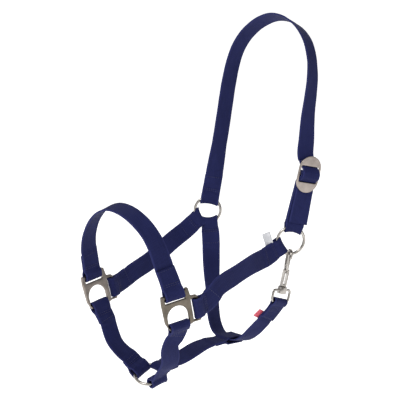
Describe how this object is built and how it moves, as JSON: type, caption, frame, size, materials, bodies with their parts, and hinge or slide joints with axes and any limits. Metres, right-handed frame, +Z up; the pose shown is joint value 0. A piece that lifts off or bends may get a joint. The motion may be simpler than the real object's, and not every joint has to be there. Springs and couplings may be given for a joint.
{
  "type": "head halter",
  "caption": "Flat webbing head halter for a horse: noseband, cheek, chin, jaw, throat and crown straps joined by metal squares and rings, with a crown slide and a throat snap.",
  "frame": {"origin": "at the poll: the middle of the crown strap's inner face, where the halter hangs on the head", "axes": "+X towards the nose, +Y towards the horse's left (near) side, +Z up"},
  "size_m": [0.3025, 0.201, 0.4575],
  "materials": {
    "webbing": "woven nylon, navy blue",
    "thread": "bonded thread, navy blue",
    "nickel": "nickel plated, polished",
    "cast_nickel": "nickel plated casting, satin",
    "spring_steel": "bright wire",
    "label": "blank white satin",
    "tag": "blank red ribbon"
  },
  "bodies": {
    "halter": {"care_label": "label", "crown_strap": "webbing", "crown_strap_stitching": "thread", "edge_tag": "tag", "jaw_strap": "webbing", "jaw_strap_stitching": "thread", "near_adjuster_strap": "webbing", "near_adjuster_strap_stitching": "thread", "near_cheek_square": "cast_nickel", "near_cheek_strap": "webbing", "near_cheek_strap_stitching": "thread", "near_chin_strap": "webbing", "near_chin_strap_stitching": "thread", "noseband": "webbing", "noseband_stitching": "thread", "off_cheek_square": "cast_nickel", "off_cheek_strap": "webbing", "off_cheek_strap_stitching": "thread", "off_chin_strap": "webbing", "off_chin_strap_stitching": "thread", "oval_slide": "cast_nickel", "snap_eye": "nickel", "throat_strap": "webbing", "throat_strap_stitching": "thread"},
    "near_ring": {"near_cheek_ring": "nickel"},
    "off_ring": {"off_cheek_ring": "nickel"},
    "lead_ring": {"chin_ring": "nickel"},
    "snap": {"snap_body": "nickel", "gate_pin": "nickel"},
    "gate": {"snap_gate": "nickel", "gate_spring": "spring_steel"}
  },
  "joints": [
    {"name": "near_ring_turn", "type": "hinge", "parent": "halter", "child": "near_ring", "pos_m": [0.05, 0.076, -0.28335], "axis": [0.5592, 0.829, 0], "continuous": true},
    {"name": "off_ring_turn", "type": "hinge", "parent": "halter", "child": "off_ring", "pos_m": [0.05, -0.076, -0.26635], "axis": [0.682, 0.7314, 0], "continuous": true},
    {"name": "lead_ring_turn", "type": "hinge", "parent": "halter", "child": "lead_ring", "pos_m": [0.2335, 0.002, -0.43785], "axis": [0.2713, 0.2311, 0.9344], "continuous": true},
    {"name": "snap_swivel", "type": "hinge", "parent": "halter", "child": "snap", "pos_m": [0.06129, 0.0723, -0.34898], "axis": [-0.2149, 0.065, 0.9745], "range_deg": [-25, 25]},
    {"name": "gate_hinge", "type": "hinge", "parent": "snap", "child": "gate", "pos_m": [0.05738, 0.07607, -0.32454], "axis": [0.8036, -0.5553, 0.2142], "range_deg": [0, 22], "stiffness_Nm_per_rad": 0.02, "springref_deg": -20.05}
  ]
}
